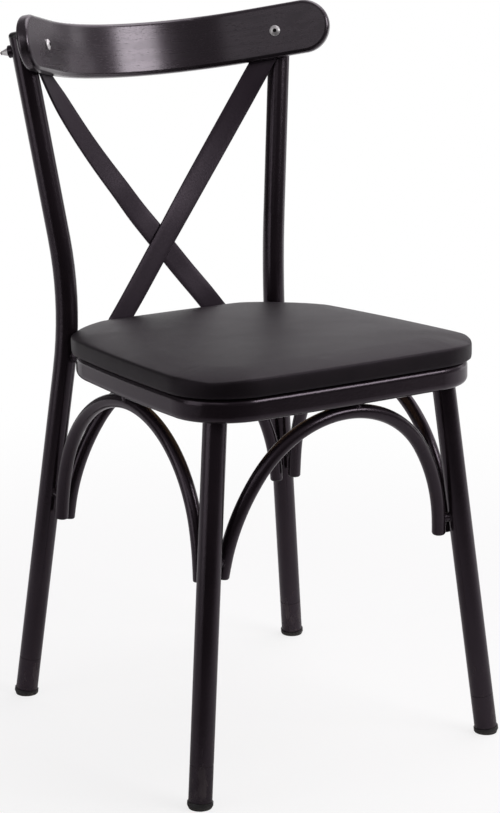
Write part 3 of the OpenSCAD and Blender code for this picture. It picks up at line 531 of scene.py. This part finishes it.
def makeSeatPad():
    around = pad["around"]
    rows = pad["profile"]
    deselect()
    start = onSeat(0, pad["middle"], 0.02)
    bpy.ops.mesh.primitive_circle_add(vertices=around, radius=0.2, location=start)
    piece = bpy.context.object
    piece.name = "seatPad"
    bpy.ops.object.transform_apply(location=True, rotation=True, scale=True)
    # Rows of the covering, from the fold under the board to the top
    bpy.ops.object.mode_set(mode="EDIT")
    bpy.ops.mesh.select_mode(type="VERT")
    bpy.ops.mesh.select_all(action="SELECT")
    for _ in rows[1:]:
        bpy.ops.mesh.extrude_edges_move(TRANSFORM_OT_translate={"value": (0, 0, 0.002)})
    bpy.ops.object.mode_set(mode="OBJECT")
    for row, (inset, level) in enumerate(rows):
        for step in range(around):
            spot, out = onOutline(step / around, inset)
            corner = inCorner(out)
            pleated = row < pad["foldRows"] and step % pad["pleatEvery"] == 0
            fold = pad["pleat"] * corner if pleated else 0
            upper = min(1, level / pad["dropHeight"]) ** 2 * (1 - inset / rows[-1][0])
            drop = pad["cornerDrop"] * corner * upper if row > pad["foldRows"] else 0
            piece.data.vertices[row * around + step].co = onSeat(spot.x, spot.y, level - drop - fold)
    # The last row is still selected: the top is filled with a grid and crowned
    bpy.ops.object.mode_set(mode="EDIT")
    bpy.ops.mesh.fill_grid(span=around // 4)
    bpy.ops.object.mode_set(mode="OBJECT")
    levelled = Matrix.Rotation(math.radians(seatSlope), 3, "X")
    pivot = Vector(pad["slopeLine"])
    for vertex in piece.data.vertices[len(rows) * around:]:
        flat = levelled @ (vertex.co - pivot)
        aside = flat.x / pad["crownReach"]
        ahead = (flat.y + pivot.y - pad["middle"]) / pad["crownReach"]
        height = rows[-1][1] + pad["crown"] * max(0, 1 - Vector((aside, ahead)).length ** 2)
        vertex.co = onSeat(flat.x, flat.y + pivot.y, height)
    return piece


# The filling presses the covering outwards; its sides are held by the board
def fillPad(piece):
    held = piece.vertex_groups.new(name="held")
    held.add(range(pad["firmRows"] * pad["around"]), 1, "REPLACE")
    before = [vertex.co.copy() for vertex in piece.data.vertices]
    cloth = piece.modifiers.new("filling", "CLOTH")
    cloth.settings.vertex_group_mass = "held"
    cloth.settings.use_pressure = True
    cloth.settings.uniform_pressure_force = pad["pressure"]
    cloth.settings.tension_stiffness = pad["stiffness"]
    cloth.settings.compression_stiffness = pad["stiffness"]
    cloth.settings.effector_weights.gravity = 0
    cloth.point_cache.frame_start = 1
    cloth.point_cache.frame_end = pad["moments"]
    for moment in range(1, pad["moments"] + 1):
        bpy.context.scene.frame_set(moment)
    deselect()
    piece.select_set(True)
    bpy.context.view_layer.objects.active = piece
    bpy.ops.object.modifier_apply(modifier="filling")
    bpy.context.scene.frame_set(1)
    pushes = [vertex.co - old for vertex, old in zip(piece.data.vertices, before)]
    farthest = max(push.length for push in pushes)
    share = min(1, pad["cap"] / farthest)
    for vertex, old, push in zip(piece.data.vertices, before, pushes):
        vertex.co = old + share * push
    piece.vertex_groups.clear()
    print("filling: a point moved", round(farthest * 1000, 2), "mm, kept", round(share, 2))


seatPad = makeSeatPad()
fillPad(seatPad)
print("seat pad:", len(seatPad.data.polygons), "faces", [round(v, 3) for v in seatPad.dimensions])
seatPad.data.materials.append(leatherette)
bpy.ops.object.shade_smooth()
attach(seatPad, "root")
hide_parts("seat_cover", "seat_foam")

# Crossed straps of the back, bent and twisted from flat bar

strap = {
    "width": 0.028,
    "thick": 0.003,
    "edge": 0.0006,  # rounding of the bar's edges
    "lean": 36,  # of the strap's top on the rail
    "topPlaces": (0.015, 0, -0.014, -0.028),  # from the bolt, along the strap
    # Middle line from the rail down to the seat: X, Y, Z and the turn of its face
    "route": ((0.131, 0.21, 0.728, 26), (0.093, 0.211, 0.672, 17.5),
              (0.0515, 0.2075, 0.616, 9), (0.008, 0.2005, 0.56, 0),
              (-0.0465, 0.191, 0.49, -1), (-0.0715, 0.188, 0.458, -2),
              (-0.0805, 0.1874, 0.4465, -2)),
    "footHeights": (0.017, 0.013, 0.009),  # over the hoop's underside
    "footTurn": -2,
    "footRun": 0.78,  # how far the foot moves sideways for its height
    "rivet": 0.094,  # sideways from the middle
    "cross": 0.549,  # height at which the straps cross
    "crossReach": 0.075,  # the step behind ends this far over and under the crossing
    "crossRamp": 0.045,
    "steps": 14,  # points from one guide point to the next
    "columns": 5,
}
hoop = {"inset": 0.005, "height": 0.0284}  # the bar under the seat: its edge lies inside the pad's


# Places on the rail's rear face, guide points of the free part, and places on the hoop's rear face
def strapGuide():
    lean = math.radians(strap["lean"])
    angle = math.radians(railEnd["angle"])
    flat = math.cos(angle) * math.cos(math.radians(railEnd["lean"]))
    turn = math.degrees(math.atan2(math.sin(angle), flat))
    depth = railEnd["thick"] + strap["thick"] / 2
    top = []
    for place in strap["topPlaces"]:
        along = railEnd["bolt"] + place * math.sin(lean)
        top.append(onRailEnd(along, depth, place * math.cos(lean)) + (turn,))
    centre, radius = padArcs[-1][:2]
    reach = radius - hoop["inset"] + strap["thick"] / 2
    foot = []
    for height in strap["footHeights"]:
        x = (height - hoop["height"] / 2) * strap["footRun"] - strap["rivet"]
        y = centre.y + math.sqrt(reach * reach - x * x)
        place = onSeat(x, y, height - hoop["height"])
        foot.append((place.x, place.y - shiftY, place.z, strap["footTurn"]))
    guide = [Vector(spot) for spot in top[2:] + list(strap["route"]) + foot[:2]]
    return top, guide, foot


# Middle line of the strap that runs from the rail's right end, with the turn of its face:
# a smooth curve over the height, through the guide points
def strapLine():
    top, guide, foot = strapGuide()
    line = [Vector(spot) for spot in top]
    for k in range(1, len(guide) - 2):
        first, second = guide[k], guide[k + 1]
        height = second[2] - first[2]
        slopes = []
        for j in (k, k + 1):
            low = guide[j if j == len(guide) - 2 else j - 1]
            high = guide[j if j == 1 else j + 1]
            slopes.append((high - low) / (high[2] - low[2]))
        for n in range(1, strap["steps"] + 1):
            t = n / strap["steps"]
            u = 1 - t
            line.append(u * u * (1 + 2 * t) * first + t * t * (3 - 2 * t) * second
                        + t * u * height * (u * slopes[0] - t * slopes[1]))
    line += [Vector(spot) for spot in foot[1:]]
    return line


# side is 1 for the strap from the right end; back is 1 for the strap that steps behind
def makeStrap(name, side, back):
    line = strapLine()
    columns = strap["columns"]
    deselect()
    bpy.ops.mesh.primitive_grid_add(x_subdivisions=len(line) - 1, y_subdivisions=columns - 1,
                                    size=0.1, location=(0, 0, 0.6))
    piece = bpy.context.object
    piece.name = name
    bpy.ops.object.transform_apply(location=True, rotation=True, scale=True)
    count = len(line)
    for k, spot in enumerate(line):
        before, after = line[max(0, k - 1)], line[min(count - 1, k + 1)]
        along = (Vector(after[:3]) - Vector(before[:3])).normalized()
        turn = math.radians(spot[3])
        out = Vector((math.sin(turn), math.cos(turn), 0))
        out.z = -(out.x * along.x + out.y * along.y) / along.z
        out.normalize()
        across = along.cross(out)
        near = (strap["crossReach"] - abs(spot[2] - strap["cross"])) / strap["crossRamp"]
        near = min(1, max(0, near))
        middle = Vector(spot[:3]) + back * strap["thick"] * near * near * (3 - 2 * near) * out
        for j in range(columns):
            place = middle + across * strap["width"] * (j / (columns - 1) - 0.5)
            piece.data.vertices[j * count + k].co = (side * place.x, place.y + shiftY, place.z)
    bpy.ops.object.mode_set(mode="EDIT")
    bpy.ops.mesh.select_all(action="SELECT")
    bpy.ops.mesh.normals_make_consistent(inside=False)
    bpy.ops.object.mode_set(mode="OBJECT")
    body = piece.modifiers.new("flatBar", "SOLIDIFY")
    body.thickness = strap["thick"]
    body.offset = 0
    edge = piece.modifiers.new("edge", "BEVEL")
    edge.width = strap["edge"]
    edge.segments = 3
    edge.limit_method = "ANGLE"
    edge.angle_limit = math.radians(50)
    for modifier in ("flatBar", "edge"):
        bpy.ops.object.modifier_apply(modifier=modifier)
    bpy.ops.object.shade_smooth_by_angle(angle=math.radians(40))
    piece.data.materials.append(strapCoat)
    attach(piece, "root")
    return piece


strapFront = makeStrap("strapFront", 1, 0)
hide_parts("strap_front")
strapRear = makeStrap("strapRear", -1, 1)
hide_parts("strap_rear")
print("straps:", len(strapFront.data.polygons), "faces each")

# Staples that hold the covering under the board

staples = {
    "count": 46,
    "inset": 0.0385,  # from the pad's outline
    "width": 0.0105,
    "wire": 0.0012,
    "flat": 0.0005,
    "edge": 0.0002,
    "sunk": 0.0002,
    "skew": 0.22,  # no staple is quite square to the board's edge
}


def makeStaple():
    deselect()
    bpy.ops.mesh.primitive_cube_add(size=1, location=(0, 0, 0))
    piece = bpy.context.object
    piece.dimensions = (staples["width"], staples["wire"], staples["flat"])
    bpy.ops.object.transform_apply(location=True, rotation=True, scale=True)
    edge = piece.modifiers.new("edge", "BEVEL")
    edge.width = staples["edge"]
    edge.segments = 1
    bpy.ops.object.modifier_apply(modifier="edge")
    return piece


def makeStaples():
    pieces = [makeStaple()]
    while len(pieces) < staples["count"]:
        piece = pieces[0].copy()
        piece.data = pieces[0].data.copy()
        bpy.context.collection.objects.link(piece)
        pieces.append(piece)
    for number, piece in enumerate(pieces):
        spot, out = onOutline((number + 0.5) / staples["count"], staples["inset"])
        skew = staples["skew"] * noise.noise(Vector((number * 1.7, 0.3, 0.5)))
        turn = Matrix.Rotation(math.atan2(out.x, -out.y) + skew, 3, "Z")
        for vertex in piece.data.vertices:
            place = turn @ vertex.co
            vertex.co = onSeat(spot.x + place.x, spot.y + place.y, place.z - staples["sunk"])
        piece.select_set(True)
    bpy.ops.object.join()
    piece = bpy.context.object
    piece.name = "staples"
    piece.data.materials.append(stapleSteel)
    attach(piece, "root")


makeStaples()
print("staples:", staples["count"])

# Weld beads where studs, spacers and front legs meet the tubes

welds = {
    "bead": 0.0011,
    "legBead": 0.0017,
    "lump": 0.0005,  # depth of the bead's lumps
    "lumpSize": 0.0028,
    "sharp": 35,  # edges sharper than this carry a bead
    "join": 0.00001,  # points closer than this are merged
    "legTop": (0.15541, -0.19841, 0.4278),
    "legRadius": 0.0139,
}


def roughen(piece):
    normals = [vertex.normal.copy() for vertex in piece.data.vertices]
    for vertex, normal in zip(piece.data.vertices, normals):
        vertex.co += normal * welds["lump"] * noise.noise(vertex.co / welds["lumpSize"])


# A bead along every sharp edge of a copy of a CAD node
def beadsAround(name):
    deselect()
    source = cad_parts[name]
    copy = source.copy()
    copy.data = source.data.copy()
    bpy.context.collection.objects.link(copy)
    copy.select_set(True)
    bpy.context.view_layer.objects.active = copy
    bpy.ops.object.mode_set(mode="EDIT")
    bpy.ops.mesh.select_mode(type="EDGE")
    bpy.ops.mesh.select_all(action="SELECT")
    bpy.ops.mesh.remove_doubles(threshold=welds["join"])
    bpy.ops.mesh.select_all(action="DESELECT")
    bpy.ops.mesh.edges_select_sharp(sharpness=math.radians(welds["sharp"]))
    bpy.ops.mesh.select_all(action="INVERT")
    bpy.ops.mesh.delete(type="EDGE")
    bpy.ops.object.mode_set(mode="OBJECT")
    bpy.ops.object.convert(target="CURVE")
    copy = bpy.context.object
    copy.data.bevel_depth = welds["bead"]
    copy.data.bevel_resolution = 3
    bpy.ops.object.convert(target="MESH")
    return bpy.context.object


def makeWelds():
    pieces = [beadsAround(name) for name in ("arch_leg_studs", "arch_crown_studs", "seat_spacers")]
    x, y, z = welds["legTop"]
    for side in (-1, 1):
        deselect()
        bpy.ops.mesh.primitive_torus_add(major_segments=96, minor_segments=10,
                                         location=(side * x, y, z),
                                         rotation=(math.radians(-seatSlope), 0, 0),
                                         major_radius=welds["legRadius"],
                                         minor_radius=welds["legBead"])
        bpy.ops.object.transform_apply(location=True, rotation=True, scale=True)
        pieces.append(bpy.context.object)
    deselect()
    for piece in pieces:
        piece.select_set(True)
    bpy.context.view_layer.objects.active = pieces[0]
    bpy.ops.object.join()
    piece = bpy.context.object
    piece.name = "weldBeads"
    bpy.ops.object.transform_apply(location=True, rotation=True, scale=True)
    bpy.ops.object.mode_set(mode="EDIT")
    bpy.ops.mesh.select_all(action="SELECT")
    bpy.ops.mesh.remove_doubles(threshold=welds["join"])
    bpy.ops.mesh.normals_make_consistent(inside=False)
    bpy.ops.object.mode_set(mode="OBJECT")
    roughen(piece)
    bpy.ops.object.shade_smooth()
    piece.data.materials.clear()
    piece.data.materials.append(frameCoat)
    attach(piece, "root")
    return piece


weldBeads = makeWelds()
print("welds:", len(weldBeads.data.polygons), "faces", [round(v, 3) for v in weldBeads.dimensions])

# Camera, floor and lights

view = {
    "place": (-1.46784, -2.28102, 1.07325),
    "turn": (75.61, 0, -33.1),
    "lens": 104.13,
    "sensor": 36,
}
turn = [math.radians(angle) for angle in view["turn"]]
bpy.ops.object.camera_add(location=view["place"], rotation=turn)
camera = bpy.context.object
camera.data.lens = view["lens"]
camera.data.sensor_width = view["sensor"]
bpy.context.scene.camera = camera

# A turn says where a change begins and where it is complete: for the sky as the cosine of the
# angle to the side named, for the floor in metres towards it
studio = {
    "behind": 33.1,  # direction away from the camera, degrees from +Y towards +X
    "tint": (1, 0.93, 0.99, 1),  # colour of the sky's light
    "skyTowards": 60,  # direction of the sky's brightest side
    "skyFront": 0.07,
    "skyBack": 0.41,
    "skyTurn": (0.1, 1.0),
    "skyRise": 2.6,  # how much brighter the sky is over the horizon's band
    "riseTurn": (0.25, 0.5),  # sine of the angle over the horizon
    "whiteTurn": (0.87, 1.0),  # the white background, as reflections see it
    "floorSize": 14,
    "floorFront": 0.04,
    "floorBack": 0.8,
    "floorTurn": (-1.6, 0.4),
    "floorWhiteTurn": (0.9, 2.6),
    "floorShown": 0.22,  # how much of the shown floor's white comes from the lamps
    "shownTurn": (1.5, 0.5),  # metres from the middle
}
aim = (0, 0, 0.5)  # the softboxes face this point
# Each softbox: direction and height in degrees as seen from the aim, distance, width, height
# and brightness
softboxes = {
    "keyBox": (147, 26, 3.2, 1.7, 0.95, 6.8),
    "topBox": (90, 68, 2.6, 2.0, 1.6, 2.2),
    "leftBox": (-88, 12, 2.8, 1.6, 2.2, 1.1),
    "rightBox": (92, 8, 3.0, 0.7, 2.2, 0.8),
    "fillBox": (-127, 27, 3.1, 1.7, 0.9, 0.6),
}


# Nodes of the floor and the sky go through the same method as the materials' own
class Backdrop(Finish):
    def __init__(self, tree):
        self.tree = tree
        self.cameraRay = self.add("LightPath", {}, {}, "Is Camera Ray")
        glossyRay = self.add("LightPath", {}, {}, "Is Glossy Ray")
        transmissionRay = self.add("LightPath", {}, {}, "Is Transmission Ray")
        self.mirrorRay = self.reckon("MAXIMUM", glossyRay, transmissionRay)

    def diffuse(self, tone):
        grey = self.add("CombineColor", {}, {0: tone, 1: tone, 2: tone})
        return self.add("BsdfDiffuse", {}, {"Color": grey})

    # From 0 to 1, by how far a direction or place lies towards a side
    def towards(self, where, side, ends):
        angle = math.radians(side)
        way = (math.sin(angle), math.cos(angle), 0)
        return self.step(self.vector("DOT_PRODUCT", where, way, output="Value"), *ends)

    # Share of the white background: the camera sees it all round, and reflections see it
    # where the photograph has it, behind the object
    def white(self, where, ends):
        behind = self.towards(where, studio["behind"], ends)
        return self.reckon("ADD", self.cameraRay, self.mirrorRay * behind, clamp=True)


def makeFloor():
    deselect()
    bpy.ops.mesh.primitive_plane_add(size=studio["floorSize"], location=(0, 0, 0))
    piece = bpy.context.object
    piece.name = "floor"
    paint = bpy.data.materials.new("floorPaint")
    paint.use_nodes = True
    paint.node_tree.nodes.clear()
    finish = Backdrop(paint.node_tree)
    spot = finish.add("TexCoord", {}, {}, "Object")
    front, back = studio["floorFront"], studio["floorBack"]
    tone = front + (back - front) * finish.towards(spot, studio["behind"], studio["floorTurn"])
    lit = finish.diffuse(tone)
    far = finish.vector("LENGTH", spot, output="Value")
    share = studio["floorShown"] * finish.step(far, *studio["shownTurn"])
    glow = finish.add("Emission", {}, {"Strength": 1 - share})
    shown = finish.add("AddShader", {}, {0: finish.diffuse(share), 1: glow})
    white = finish.white(spot, studio["floorWhiteTurn"])
    surface = finish.add("MixShader", {}, {0: white, 1: lit, 2: shown})
    finish.add("OutputMaterial", {}, {"Surface": surface}, None)
    piece.data.materials.append(paint)


def makeSky():
    world = bpy.data.worlds.new("studio")
    bpy.context.scene.world = world
    world.use_nodes = True
    world.node_tree.nodes.clear()
    finish = Backdrop(world.node_tree)
    direction = finish.add("TexCoord", {}, {}, "Generated")
    front, back = studio["skyFront"], studio["skyBack"]
    around = front + (back - front) * finish.towards(direction, studio["skyTowards"], studio["skyTurn"])
    rise = finish.step(finish.axis("Z", direction), *studio["riseTurn"])
    around = around * (1 + studio["skyRise"] * rise)
    white = finish.white(direction, studio["whiteTurn"])
    strength = around * (1 - white) + white
    tone = finish.blend(white, studio["tint"], (1, 1, 1, 1))
    surface = finish.add("Background", {}, {"Color": tone, "Strength": strength})
    finish.add("OutputWorld", {}, {"Surface": surface}, None)


def addSoftbox(name, towards, height, distance, wide, tall, glow):
    towards = math.radians(towards)
    height = math.radians(height)
    level = math.cos(height)
    out = Vector((math.sin(towards) * level, math.cos(towards) * level, math.sin(height)))
    bpy.ops.object.light_add(type="AREA", location=Vector(aim) + distance * out)
    lamp = bpy.context.object
    lamp.name = name
    lamp.data.shape = "RECTANGLE"
    lamp.data.size = wide
    lamp.data.size_y = tall
    lamp.data.energy = glow * math.pi * wide * tall  # the same brightness at any size
    lamp.visible_camera = False
    lamp.rotation_mode = "QUATERNION"
    lamp.rotation_quaternion = (-out).to_track_quat("-Z", "Y")


makeFloor()
makeSky()
for name, values in softboxes.items():
    addSoftbox(name, *values)
print("studio:", len(softboxes), "softboxes")
bpy.context.scene.view_settings.view_transform = "Standard"
